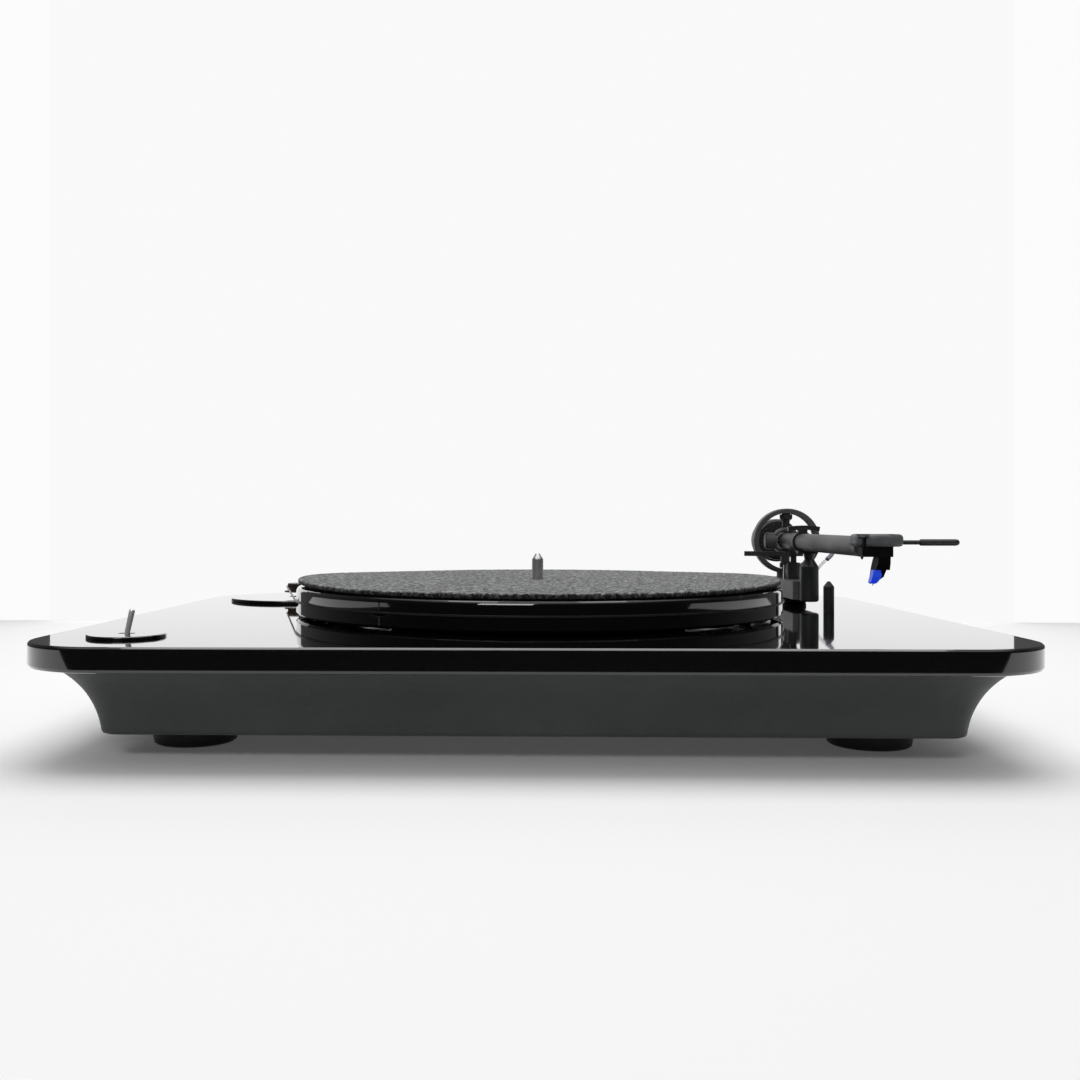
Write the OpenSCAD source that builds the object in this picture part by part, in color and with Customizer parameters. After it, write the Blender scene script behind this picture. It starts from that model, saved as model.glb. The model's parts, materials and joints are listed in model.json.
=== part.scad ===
// Belt-driven turntable record player with a gimbal tonearm.
// Origin: centre of the footprint on the floor, +Z up, front towards -Y.

/* [Plinth] */
// Overall width of the top board
plinth_w = 484; // [470:1:500]
// Overall depth of the top board
plinth_d = 380; // [372:1:396]
// Plan radius of the four corners
corner_r = 43; // [38:1:50]
// Thickness of the lacquered top board
board_t = 12; // [10:0.5:14]
// Height of the waisted base under the top board
base_h = 34; // [34:1:40]
// Height of the feet
foot_h = 12.5; // [10:0.5:16]
// Radius of a foot at the top
foot_r = 22.5; // [18:0.5:26]

/* [Platter] */
// Radius of the platter
platter_r = 150; // [149:0.5:152]
// Thickness of the platter
platter_t = 16.6; // [14:0.2:20]
// Thickness of the felt mat
mat_t = 2.8; // [2:0.1:4]
// Diameter of the spindle (standard record hole size)
spindle_dia = 7.2; // [7.1:0.02:7.24]
// Platter centre, left to right
platter_x = 5; // [0:1:10]
// Platter centre, front to back
platter_y = 12; // [8:1:16]

/* [Drive] */
// Radius of the pulley where the belt runs
pulley_r = 9.2; // [8:0.1:10]
// Motor axis, left to right
motor_x = -170; // [-174:1:-168]
// Motor axis, front to back
motor_y = 124; // [122:1:128]
// Radius of the round motor cover
motor_cover_r = 50; // [46:1:52]

/* [Tonearm] */
// Arm pivot, left to right
pivot_x = 187; // [185:0.5:189]
// Arm pivot, front to back
pivot_y = 121.5; // [120:0.5:124]
// Height of the arm axis above the top board
arm_h = 43.5; // [43:0.1:45]
// Effective length from pivot to stylus
arm_length = 230; // [228:0.5:231]
// Outer radius of the gimbal ring
ring_r = 23.6; // [23:0.1:24]
// Radius of the counterweight
weight_r = 16.25; // [15:0.25:17]

/* [Hidden] */
$fn = 64;

base_z = foot_h;
board_z = base_z + base_h;
top_z = board_z + board_t;
half_w = plinth_w / 2;
half_d = plinth_d / 2;
overlap = 1;          // how far a cutting shape runs past the face it cuts
run_gap = 0.05;       // radial clearance of a shaft that turns in a hole
seat_gap = 0.02;      // radial clearance of a pin that is glued or pressed in its hole

lacquer = [0.02, 0.02, 0.022];
charcoal = [0.16, 0.165, 0.17];
satin_black = [0.06, 0.062, 0.065];
steel = [0.72, 0.73, 0.74];

// ---- general shapes ----

function arc(cx, cy, r, from, to, steps) =
    [for (i = [0:steps]) let (a = from + (to - from) * i / steps) [cx + r * cos(a), cy + r * sin(a)]];

// A solid of revolution about Z from [radius, height] points
module turned(points, sides = 96) {
    rotate_extrude($fn = sides) polygon(points);
}

// A disc or rod whose top and bottom edges are rounded
module soft_disc(r, z0, z1, round_top, round_bottom = 0.01, steps = 5) {
    turned(concat(
        [[0, z0]],
        arc(r - round_bottom, z0 + round_bottom, round_bottom, -90, 0, steps),
        arc(r - round_top, z1 - round_top, round_top, 0, 90, steps),
        [[0, z1]]
    ));
}

// A slab with rounded plan corners whose edge follows a list of [inset, height] points
module edged_slab(hw, hd, r, edge) {
    n = len(edge) - 1;
    low = edge[0][1];
    high = edge[n][1];
    side_x = concat([[0, low]], [for (p = edge) [hw - p[0], p[1]]], [[0, high]]);
    side_y = concat([[0, low]], [for (p = edge) [hd - p[0], p[1]]], [[0, high]]);
    corner = concat([[0, low]], [for (p = edge) [r - p[0], p[1]]], [[0, high]]);
    for (m = [0, 1]) mirror([m, 0, 0])
        translate([0, hd - r, 0]) rotate([90, 0, 0]) linear_extrude(2 * (hd - r)) polygon(side_x);
    for (m = [0, 1]) mirror([0, m, 0])
        translate([-(hw - r), 0, 0]) rotate([90, 0, 90]) linear_extrude(2 * (hw - r)) polygon(side_y);
    for (mx = [0, 1], my = [0, 1]) mirror([mx, 0, 0]) mirror([0, my, 0])
        translate([hw - r, hd - r, 0]) rotate_extrude(angle = 90, $fn = 96) polygon(corner);
}

module rounded_plate(hw, hd, r, h) {
    translate([-hw + r, -hd, 0]) cube([2 * (hw - r), 2 * hd, h]);
    translate([-hw, -hd + r, 0]) cube([2 * hw, 2 * (hd - r), h]);
    for (sx = [-1, 1], sy = [-1, 1]) translate([sx * (hw - r), sy * (hd - r), 0]) cylinder(r = r, h = h);
}

// A cylinder along Y, from y0 to y1
module rod_y(r, y0, y1) {
    translate([0, y1, 0]) rotate([90, 0, 0]) cylinder(r = r, h = y1 - y0);
}

// A turned shape with its axis along Y: points are [radius, distance along -Y]
module turned_y(points, sides = 64) {
    rotate([90, 0, 0]) turned(points, sides);
}

// A round tube swept along a route of points
function unit(v) = v / norm(v);
function along(route, i) = unit(route[min(i + 1, len(route) - 1)] - route[max(i - 1, 0)]);
function across(t) = unit(cross(t, abs(t[2]) < 0.9 ? [0, 0, 1] : [1, 0, 0]));
module swept(route, r, sides = 8) {
    n = len(route);
    rings = [for (i = [0:n - 1]) let (t = along(route, i), u = across(t), v = cross(t, u))
        for (k = [0:sides - 1]) route[i] + r * (u * cos(360 * k / sides) + v * sin(360 * k / sides))];
    skin = [for (i = [0:n - 2], k = [0:sides - 1], half = [0, 1])
        let (a = i * sides + k, b = i * sides + (k + 1) % sides)
        half == 0 ? [a, b, b + sides] : [a, b + sides, a + sides]];
    ends = [for (k = [1:sides - 2], last = [0, 1]) let (first = last * (n - 1) * sides)
        last == 0 ? [0, k + 1, k] : [first, first + k, first + k + 1]];
    polyhedron(rings, concat(skin, ends), convexity = 6);
}

// A pan-head machine screw, head up, with a cross slot; the thread is drawn plain
module machine_screw(shank_r, shank_l, head_r, head_h) {
    difference() {
        union() {
            translate([0, 0, -shank_l]) cylinder(r = shank_r, h = shank_l);
            soft_disc(head_r, 0, head_h, head_h * 0.45);
        }
        for (a = [0, 90]) rotate([0, 0, a]) translate([-head_r * 0.6, -0.35, head_h * 0.45])
            cube([head_r * 1.2, 0.7, head_h]);
    }
}

// ---- plinth ----

base_gap = 0.02;
waist_r = 42.5;
waist_cx = -9;
waist_cz = 8.5;
edge_round = 1.6;
inset_top = 10;
bearing_hole_r = 10;
motor_hole_r = 14;
switch_hole_r = 6.2;
arm_hole_r = 8;
storage_pin_y = 9.4;
storage_pin_r = 3.3;
pin_stem_r = 2.5;
pin_depth = 8;
switch_x = -198.2;
switch_y = -144;
boss_y = 101;
foot_x = 176;
foot_y = 105;
cover_hw = 196;
cover_hd = 144;
cover_t = 3;
cover_z = base_z;
pocket_floor = cover_z + cover_t;
screw_x = 140;
screw_y = 134;

// Where the waisted side sits, from the foot of the base up to the top board
function waist_inset(z) = waist_cx + sqrt(pow(waist_r, 2) - pow(z - waist_cz, 2));
waist_steps = 16;
waist_low = base_z + 2;
waist_high = 46.45;
waist_edge = concat(
    [[waist_inset(waist_low) + 2, base_z], [waist_inset(waist_low) + 0.5, base_z + 0.6]],
    [for (i = [0:waist_steps]) let (z = waist_low + (waist_high - waist_low) * i / waist_steps)
        [waist_inset(z), z]],
    [[inset_top - 0.4, board_z - base_gap]]
);

module top_board() {
    edge = [
        [edge_round, board_z], [edge_round * 0.4, board_z + edge_round * 0.2],
        [0, board_z + edge_round], [0, top_z - edge_round],
        [edge_round * 0.13, top_z - edge_round * 0.5], [edge_round * 0.5, top_z - edge_round * 0.13],
        [edge_round, top_z]
    ];
    color(lacquer) difference() {
        edged_slab(half_w, half_d, corner_r, edge);
        through_hole(platter_x, platter_y, bearing_hole_r);
        through_hole(motor_x, motor_y, motor_hole_r);
        through_hole(switch_x, switch_y, switch_hole_r);
        through_hole(pivot_x, boss_y, arm_hole_r);
        translate([pivot_x, storage_pin_y, top_z - pin_depth])
            cylinder(r = pin_stem_r + seat_gap, h = pin_depth + overlap);
    }
}

module through_hole(x, y, r) {
    translate([x, y, board_z - overlap]) cylinder(r = r, h = board_t + 2 * overlap);
}

bearing_pocket_r = 22;
motor_pocket_r = 23.5;
switch_pocket_r = 9;
arm_pocket_r = 14;
channel_w = 12;
panel_x = 60;
panel_hw = 62;
electronics_hd = 20;
rear_wall_y = half_d - 33.5;
electronics_y = 118;

module base_board() {
    color(charcoal) difference() {
        edged_slab(half_w, half_d, corner_r, waist_edge);
        // recess for the bottom cover
        translate([0, 0, base_z - overlap]) rounded_plate(cover_hw + 0.3, cover_hd + 0.3, 14,
            cover_z + cover_t - base_z + overlap);
        pocket(platter_x, platter_y, bearing_pocket_r);
        pocket(motor_x, motor_y, motor_pocket_r);
        pocket(switch_x + 8, switch_y + 10, switch_pocket_r);
        translate([switch_x, switch_y, board_z - 10]) cylinder(r = 8, h = 10 + overlap);
        pocket(pivot_x, boss_y, arm_pocket_r);
        // electronics pocket, open through the rear wall for the connector panel
        translate([panel_x - panel_hw, electronics_y - electronics_hd, pocket_floor - overlap])
            cube([2 * panel_hw, 2 * electronics_hd, 24 + overlap]);
        translate([panel_x - panel_hw + 6, electronics_y, pocket_floor])
            cube([2 * (panel_hw - 6), 80, 22]);
        // channels for the inner leads
        channel([motor_x, electronics_y - 10], [panel_x, electronics_y - 10]);
        channel([panel_x, boss_y], [pivot_x, boss_y]);
        channel([switch_x + 8, switch_y + 10], [motor_x - 6, motor_y]);
        for (sx = [-1, 1], sy = [-1, 1]) translate([sx * screw_x, sy * screw_y, 0])
            cylinder(r = 1.6 + seat_gap, h = pocket_floor + 14);
    }
}

module pocket(x, y, r) {
    translate([x, y, pocket_floor - overlap]) cylinder(r = r, h = base_h + 2 * overlap);
}

module channel(a, b) {
    d = b - a;
    translate([a[0], a[1], pocket_floor - overlap]) rotate([0, 0, atan2(d[1], d[0])])
        translate([0, -channel_w / 2, 0]) cube([norm(d), channel_w, 8 + overlap]);
}

module bottom_cover() {
    color([0.05, 0.05, 0.05]) difference() {
        translate([0, 0, cover_z]) rounded_plate(cover_hw, cover_hd, 14, cover_t);
        for (sx = [-1, 1], sy = [-1, 1]) translate([sx * screw_x, sy * screw_y, 0])
            cylinder(r = 1.8, h = pocket_floor + overlap);
        for (sx = [-1, 1], sy = [-1, 1]) translate([sx * foot_x, sy * foot_y, 0])
            cylinder(r = 2.7, h = pocket_floor + overlap);
    }
}

module foot_at(sx, sy) {
    color([0.03, 0.03, 0.03]) translate([sx * foot_x, sy * foot_y, 0]) difference() {
        turned([[0, 0], [foot_r - 2.6, 0], [foot_r - 1.5, 0.8], [foot_r - 1.2, 2.2],
            [foot_r, foot_h - 1.2], [foot_r - 0.4, foot_h - 0.4], [foot_r - 1, foot_h - seat_gap],
            [0, foot_h - seat_gap]]);
        translate([0, 0, -overlap]) cylinder(r = 5.2, h = 5 + overlap);
        translate([0, 0, 4]) cylinder(r = 2.5 + seat_gap, h = foot_h);
    }
}
module foot_front_left() { foot_at(-1, -1); }
module foot_front_right() { foot_at(1, -1); }
module foot_rear_left() { foot_at(-1, 1); }
module foot_rear_right() { foot_at(1, 1); }

// Four screws hold the feet, four hold the bottom cover
module base_screws() {
    color(steel) {
        for (sx = [-1, 1], sy = [-1, 1]) translate([sx * foot_x, sy * foot_y, 5])
            rotate([180, 0, 0]) machine_screw(2.5, cover_z + cover_t - 5, 4.6, 2.6);
        for (sx = [-1, 1], sy = [-1, 1]) translate([sx * screw_x, sy * screw_y, cover_z])
            rotate([180, 0, 0]) machine_screw(1.6, 14, 3, 1.6);
    }
}

// ---- platter and its bearing ----

platter_z = top_z + 1.4;
platter_top = platter_z + platter_t;
mat_top = platter_top + mat_t + 0.2;
spindle_r = spindle_dia / 2;
spindle_top = mat_top + 16.3;
shaft_r = 5;
bearing_low = base_z + 8;
flange_r = 19;
flange_t = 3;
flange_z = board_z - flange_t;
ball_r = 2.5;

module bearing_housing() {
    color(steel) translate([platter_x, platter_y, 0]) difference() {
        union() {
            translate([0, 0, bearing_low]) cylinder(r = 8.5, h = top_z - 0.5 - bearing_low);
            translate([0, 0, flange_z]) cylinder(r = flange_r, h = flange_t - 0.02);
        }
        translate([0, 0, bearing_low + 3]) cylinder(r = 7 + seat_gap, h = base_h + board_t);
        for (a = [30, 150, 270]) rotate([0, 0, a]) translate([14, 0, flange_z - overlap])
            cylinder(r = 1.7, h = flange_t + 2 * overlap);
    }
}

module bearing_bush() {
    color([0.62, 0.42, 0.2]) translate([platter_x, platter_y, bearing_low + 9]) difference() {
        cylinder(r = 7, h = top_z - 1 - bearing_low - 9);
        translate([0, 0, -overlap]) cylinder(r = shaft_r + run_gap, h = base_h + board_t);
    }
}

module bearing_ball() {
    color(steel) translate([platter_x, platter_y, bearing_low + 3 + ball_r]) sphere(r = ball_r);
}

module bearing_screws() {
    color(steel) translate([platter_x, platter_y, flange_z]) for (a = [30, 150, 270]) rotate([0, 0, a])
        translate([14, 0, 0]) rotate([180, 0, 0]) machine_screw(1.6, flange_t - 0.1, 2.8, 1.8);
}

// One turning: thrust end, bearing shaft, shoulder under the platter, record spindle
module spindle() {
    shaft_low = bearing_low + 3 + 2 * ball_r + 0.05;
    color(steel) translate([platter_x, platter_y, 0]) turned([
        [0, shaft_low], [shaft_r - 0.8, shaft_low], [shaft_r, shaft_low + 0.8],
        [shaft_r, platter_z + 0.6], [9.5, platter_z + 0.6], [9.5, platter_z + 2.6],
        [shaft_r, platter_z + 2.6], [shaft_r, platter_top - 1], [spindle_r - 0.6, platter_top - 1],
        [spindle_r - 0.6, mat_top], [spindle_r, mat_top],
        [spindle_r, spindle_top - 3.9], [spindle_r - 0.25, spindle_top - 3.3],
        [1.3, spindle_top - 0.15], [1.05, spindle_top], [0, spindle_top]
    ]);
}

module platter() {
    round_r = 3.2;
    chamfer = 1.4;
    lip = 16;
    color(lacquer) translate([platter_x, platter_y, 0]) turned(concat(
        [[9.5 + seat_gap, platter_z - 1], [platter_r - lip - 42, platter_z - 1],
            [platter_r - lip - 38, platter_z + 3], [platter_r - lip - 2, platter_z + 3],
            [platter_r - lip, platter_z], [platter_r - chamfer, platter_z], [platter_r, platter_z + chamfer]],
        arc(platter_r - round_r, platter_top - round_r, round_r, 0, 90, 8),
        [[shaft_r + seat_gap, platter_top], [shaft_r + seat_gap, platter_z + 2.65],
            [9.5 + seat_gap, platter_z + 2.65]]
    ), 128);
}

module mat() {
    mat_r = 149;
    color([0.45, 0.46, 0.46]) translate([platter_x, platter_y, 0]) difference() {
        soft_disc(mat_r, mat_top - mat_t, mat_top, 0.8, 0.5);
        translate([0, 0, mat_top - mat_t - overlap]) cylinder(r = spindle_r + 0.3, h = mat_t + 2 * overlap);
    }
}

// ---- motor, pulley and belt ----

pulley_z = top_z + 5.7;
pulley_top = top_z + 12.1;
belt_h = 1;
belt_t = 0.8;
belt_z = top_z + 9.2;
belt_clear = 0.15;
cover_thick = 2.3;
motor_low = pocket_floor + 3;
motor_top = board_z - 0.05;

module motor_body() {
    color([0.55, 0.56, 0.57]) translate([motor_x, motor_y, 0]) difference() {
        union() {
            soft_disc(18, motor_low, motor_top, 1, 1);
            translate([0, 0, motor_top - 2]) cylinder(r = 22, h = 2);
            translate([0, 0, motor_top - overlap]) cylinder(r = 5, h = 2 + overlap);
        }
        translate([0, 0, motor_low + 2]) cylinder(r = 1.5 + run_gap, h = base_h);
        for (a = [45, 225]) rotate([0, 0, a]) translate([20, 0, motor_top - 3]) cylinder(r = 1.4, h = 5);
    }
}

module motor_screws() {
    color(steel) translate([motor_x, motor_y, motor_top - 2]) for (a = [45, 225]) rotate([0, 0, a])
        translate([20, 0, 0]) rotate([180, 0, 0]) machine_screw(1.3, 1.9, 1.9, 1.5);
}

module motor_cover() {
    color(lacquer) translate([motor_x, motor_y, 0]) difference() {
        soft_disc(motor_cover_r, top_z, top_z + cover_thick, 0.9, 0.5);
        translate([0, 0, top_z - overlap]) cylinder(r = 8, h = cover_thick + 2 * overlap);
    }
}

module motor_shaft() {
    color(steel) translate([motor_x, motor_y, motor_low + 2.3])
        cylinder(r = 1.5, h = pulley_top - 0.6 - motor_low - 2.3);
}

module pulley() {
    flange = 11.4;
    color([0.2, 0.14, 0.12]) translate([motor_x, motor_y, 0]) turned([
        [1.5 + seat_gap, pulley_z], [flange, pulley_z], [flange, pulley_z + 0.9],
        [pulley_r, pulley_z + 1.1], [pulley_r, pulley_top - 0.7], [pulley_r - 0.3, pulley_top],
        [3.4, pulley_top], [3, pulley_top - 0.5], [1.5 + seat_gap, pulley_top - 0.5]
    ]);
}

// Thin belt: two round wraps and two straight runs, as one closed loop
module belt() {
    color([0.1, 0.1, 0.1]) translate([0, 0, belt_z]) linear_extrude(belt_h) difference() {
        belt_outline(belt_clear + belt_t);
        belt_outline(belt_clear);
    }
}

module belt_outline(grow) {
    big = platter_r + grow;
    small = pulley_r + grow;
    d = [motor_x - platter_x, motor_y - platter_y];
    span = norm(d);
    lean = acos((big - small) / span);
    line = atan2(d[1], d[0]);
    function on_big(a) = [platter_x + big * cos(a), platter_y + big * sin(a)];
    function on_small(a) = [motor_x + small * cos(a), motor_y + small * sin(a)];
    translate([platter_x, platter_y]) circle(r = big, $fn = 128);
    translate([motor_x, motor_y]) circle(r = small);
    polygon([on_big(line - lean), on_small(line - lean), on_small(line + lean), on_big(line + lean)]);
}

// ---- power switch ----

toggle_tilt = 12.5;
toggle_z = top_z + 0.8;
switch_plate_t = 1.7;
toggle_pin_r = 0.6;

module switch_plate() {
    color(lacquer) translate([switch_x, switch_y, 0]) difference() {
        soft_disc(18.95, top_z, top_z + switch_plate_t, 0.8, 0.2);
        translate([-3.9, -2.1, top_z - overlap]) cube([7.8, 4.2, 4]);
        translate([0, 0, toggle_z]) rod_y(toggle_pin_r + run_gap, -3.3, 3.3);
    }
}

module switch_body() {
    color([0.08, 0.08, 0.09]) translate([switch_x, switch_y, 0]) difference() {
        union() {
            translate([0, 0, board_z - 1]) cylinder(r = 5.9, h = board_t + 0.5);
            translate([-5.6, -3.2, board_z - 8]) cube([11.2, 6.4, 7.9]);
        }
        translate([-4.2, -2.2, board_z + 4]) cube([8.4, 4.4, board_t]);
    }
}

module toggle_lever() {
    color([0.85, 0.86, 0.87]) translate([switch_x, switch_y, toggle_z]) rotate([0, toggle_tilt, 0]) {
        turned([
            [0, -6.5], [1.5, -6.5], [1.5, -2.5], [1.25, -1.3],
            [1.45, 12.2], [1.2, 12.9], [0.7, 13.2], [0, 13.2]
        ]);
        rod_y(toggle_pin_r, -3.2, 3.2);
    }
}

// ---- electronics and connectors ----

panel_t = 2;
panel_z = pocket_floor + 0.3;
panel_face_y = rear_wall_y - 9;
socket_z = panel_z + 10;
rca_x = [panel_x + 22, panel_x + 40];
jack_x = panel_x - 38;
ground_x = panel_x + 4;
rca_r = 4.15;

module control_board() {
    color([0.05, 0.25, 0.12]) translate([panel_x - 50, electronics_y - 16, panel_z + 2]) {
        cube([64, 26, 1.6]);
        translate([8, 8, 1.6]) cube([8, 8, 2]);
        translate([26, 12, 1.6]) cylinder(r = 4, h = 9);
        translate([38, 12, 1.6]) cylinder(r = 4, h = 9);
        translate([48, 4, 1.6]) cube([6, 5, 4]);
    }
}

module connector_panel() {
    color(satin_black) difference() {
        translate([panel_x - panel_hw + 6.5, panel_face_y - panel_t, panel_z])
            cube([2 * (panel_hw - 6.5), panel_t, 21]);
        for (x = rca_x) translate([x, panel_face_y, socket_z]) rod_y(rca_r + seat_gap, -panel_t - 1, 1);
        translate([jack_x, panel_face_y, socket_z]) rod_y(5.5 + seat_gap, -panel_t - 1, 1);
        translate([ground_x, panel_face_y, socket_z]) rod_y(2.5 + seat_gap, -panel_t - 1, 1);
    }
}

module rca_socket(x) {
    color([0.8, 0.72, 0.45]) translate([x, panel_face_y, socket_z]) difference() {
        union() {
            rod_y(rca_r, -9, 8);
            rod_y(6.2, 0.02, 1.6);
        }
        rod_y(3.3, 1, 9);
    }
    color("white") translate([x, panel_face_y, socket_z]) difference() {
        rod_y(3.3, 1, 6.5);
        rod_y(1.6, 2, 9);
    }
}
module rca_socket_left() { rca_socket(rca_x[0]); }
module rca_socket_right() { rca_socket(rca_x[1]); }

module dc_jack() {
    color([0.07, 0.07, 0.07]) translate([jack_x, panel_face_y, socket_z]) {
        difference() {
            union() {
                rod_y(5.5, -11, 2.4);
                rod_y(6.8, 0.02, 1.6);
            }
            rod_y(2.8, -8, 4);
        }
        rod_y(1, -9, 1);
    }
}

module ground_terminal() {
    color([0.8, 0.72, 0.45]) translate([ground_x, panel_face_y, socket_z]) {
        rod_y(2.5, -6, 2);
        rod_y(4.6, 0.02, 1);
        rod_y(4.2, 2, 7);
    }
}

lead_z = pocket_floor + 4;
inner_lead_r = 1.6;

module inner_leads() {
    switch_lead = [[switch_x + 6, switch_y + 12, lead_z], [switch_x + 13, -60, lead_z],
        [motor_x - 12, 20, lead_z], [motor_x - 8, 84, lead_z], [motor_x - 6, 98, lead_z]];
    motor_lead = [[motor_x + 26, electronics_y - 9, lead_z], [-110, electronics_y - 10, lead_z],
        [-60, electronics_y - 9, lead_z], [-16, electronics_y - 10, lead_z], [8, electronics_y - 10, lead_z]];
    arm_lead = [[pivot_x - 15, boss_y, lead_z], [160, boss_y + 1, lead_z], [140, boss_y, lead_z],
        [112, boss_y + 2, lead_z], [104, 112, lead_z + 2], [102, 124, socket_z - 2]];
    color([0.55, 0.1, 0.1]) {
        swept(switch_lead, inner_lead_r);
        swept(motor_lead, inner_lead_r);
        swept(arm_lead, inner_lead_r);
    }
}

// ---- tonearm base ----

beam_low = top_z + 4.6;
beam_top = top_z + 17;
beam_hw = 8;
beam_front = 62;
beam_rear = 135;
rest_x = 187.2;
rest_y = 57;
rest_r = 6.2;
stud_z = top_z + 10.8;

module arm_base_boss() {
    color(satin_black) translate([pivot_x, boss_y, 0]) {
        translate([0, 0, board_z - 8]) cylinder(r = 7.9, h = board_t + 8.5);
        soft_disc(9.2, top_z, beam_low - 0.02, 0.5, 0.8);
    }
}

module arm_base_nut() {
    color(steel) translate([pivot_x, boss_y, board_z - 5.1]) difference() {
        cylinder(r = 12.5, h = 5, $fn = 6);
        translate([0, 0, -overlap]) cylinder(r = 7.9 + seat_gap, h = 5 + 2 * overlap);
    }
}

module arm_base_beam() {
    color(charcoal) {
        difference() {
            translate([pivot_x - 1, (beam_front + beam_rear) / 2, beam_low])
                rounded_plate(beam_hw, (beam_rear - beam_front) / 2, 3, beam_top - beam_low);
            translate([lift_x, lift_y, beam_top - 4]) cylinder(r = 4.6 + seat_gap, h = 5);
            translate([guide_x, guide_y, beam_top - 6]) cylinder(r = 1.35 + seat_gap, h = 7);
            translate([rest_x, rest_y, beam_low - overlap]) cylinder(r = rest_r + seat_gap, h = 20);
        }
        // stud that carries the rest post
        translate([rest_x, 0, stud_z]) rod_y(2, rest_y - 1, beam_front + 2);
    }
}

module storage_pin() {
    color(satin_black) translate([pivot_x, storage_pin_y, 0]) turned([
        [0, top_z - pin_depth + 0.2], [pin_stem_r, top_z - pin_depth + 0.2],
        [pin_stem_r, top_z + seat_gap], [storage_pin_r, top_z + seat_gap],
        [storage_pin_r, top_z + 16.3], [storage_pin_r - 0.25, top_z + 16.8],
        [1.1, top_z + 19.5], [0.6, top_z + 19.85], [0, top_z + 19.9]
    ]);
}

module rest_post() {
    low = top_z + 3.8;
    neck_z = top_z + 32;
    color(satin_black) translate([rest_x, rest_y, 0]) difference() {
        turned([
            [0, low], [rest_r - 1.2, low], [rest_r - 0.3, low + 0.5], [rest_r, low + 1.4],
            [rest_r - 0.15, top_z + 27.2], [3.1, neck_z], [3.1, neck_z + 0.4],
            [3.9, top_z + 36], [0, top_z + 36]
        ]);
        translate([0, 0, stud_z]) rod_y(2 + seat_gap, -1.05, 8);
    }
}

// Saddle that the tube lies on, with one upright prong on the outer side
module rest_clip() {
    color(satin_black) translate([rest_x, rest_y, 0]) difference() {
        union() {
            translate([-8.2, -3, top_z + 36.02]) cube([13.4, 6, 2.1]);
            translate([3.4, -3, top_z + 36.02]) cube([1.8, 6, 8.5]);
        }
        translate([-3, 0, top_z + arm_h]) rod_y(6, -5, 5);
    }
}

// ---- arm lift ----

lift_x = 186.5;
lift_y = 97;
guide_x = 180;
guide_y = 94.5;
lift_top = top_z + 36.5;
lift_shaft_r = 2.1;
lift_bar_t = 3.4;

module lift_cylinder() {
    color(satin_black) translate([lift_x, lift_y, 0]) difference() {
        soft_disc(4.6, beam_top - 3.9, top_z + 28.6, 0.5);
        translate([0, 0, beam_top - 2]) cylinder(r = lift_shaft_r + run_gap, h = 20);
    }
}

module lift_guide_pin() {
    color(steel) translate([guide_x, guide_y, beam_top - 5.8]) cylinder(r = 1.35, h = 15.8);
}

// Curved bar under the tube, with its shaft and its guide sleeve
module lift_platform() {
    bar_r = 60;
    bar_w = 4;
    bar_centre = [182, 156];
    color(satin_black) {
        translate([bar_centre[0], bar_centre[1], lift_top - lift_bar_t]) rotate([0, 0, 241.8])
            rotate_extrude(angle = 38.2, $fn = 96)
                translate([bar_r - bar_w / 2, 0]) square([bar_w, lift_bar_t]);
        translate([lift_x, lift_y, beam_top + 1]) cylinder(r = lift_shaft_r, h = lift_top - beam_top - 2);
        translate([guide_x, guide_y, 0]) difference() {
            translate([0, 0, top_z + 28.9]) cylinder(r = 3.1, h = lift_top - top_z - 29.4);
            translate([0, 0, top_z + 24]) cylinder(r = 1.35 + run_gap, h = 10);
        }
    }
}

lever_x = pivot_x - 1 + beam_hw + 0.3;
lever_y = 116;
lever_z = top_z + 11;
lever_tilt = -12;

module lift_lever() {
    color(satin_black) translate([lever_x, lever_y, lever_z]) rotate([lever_tilt, 0, 0]) {
        rotate([0, 90, 0]) cylinder(r = 3.4, h = 5);
        // off-centre cam, which also balances the lever
        translate([0, -5, 0]) rotate([0, 90, 0]) cylinder(r = 5.4, h = 4.6);
        translate([2.6, 0, 0]) rod_y(1.2, 0, 17);
        translate([2.6, 0, 0]) rod_y(1.8, 15, 24);
    }
}

// ---- tonearm ----

arm_z = top_z + arm_h;
rest_angle = -2.5;
ring_wall = 3.4;
ring_half = 5.2;
ring_in = ring_r - ring_wall;
tube_rear_r = 5.9;
tube_front_r = 5.5;
tube_wall = 0.7;
tube_front = arm_length - 23;
tube_rear = 27;
yoke_r = 9.8;
yoke_bore = 7.7;
yoke_half = 5;
pin_r = 1;

// Places children at the arm pivot: -Y runs along the arm to the headshell, +Y to the counterweight
module at_pivot() {
    translate([pivot_x, pivot_y, arm_z]) rotate([0, 0, rest_angle]) children();
}

module gimbal_ring() {
    color([0.2, 0.205, 0.21]) at_pivot() difference() {
        union() {
            rotate([90, 0, 0]) turned([
                [ring_in, -ring_half], [ring_r - 0.6, -ring_half], [ring_r, -ring_half + 0.6],
                [ring_r, ring_half - 0.6], [ring_r - 0.6, ring_half], [ring_in, ring_half]
            ]);
            translate([0, 0, beam_top + 0.02 - arm_z]) cylinder(r = 6.5, h = arm_z - beam_top - ring_in - 0.7);
        }
        rod_y(ring_in, -8, 8);
        for (s = [0, 1]) mirror([0, 0, s]) translate([0, 0, ring_in - 1])
            cylinder(r = 3 + seat_gap, h = ring_wall + 1 - s * 0.6);
    }
}

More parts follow.
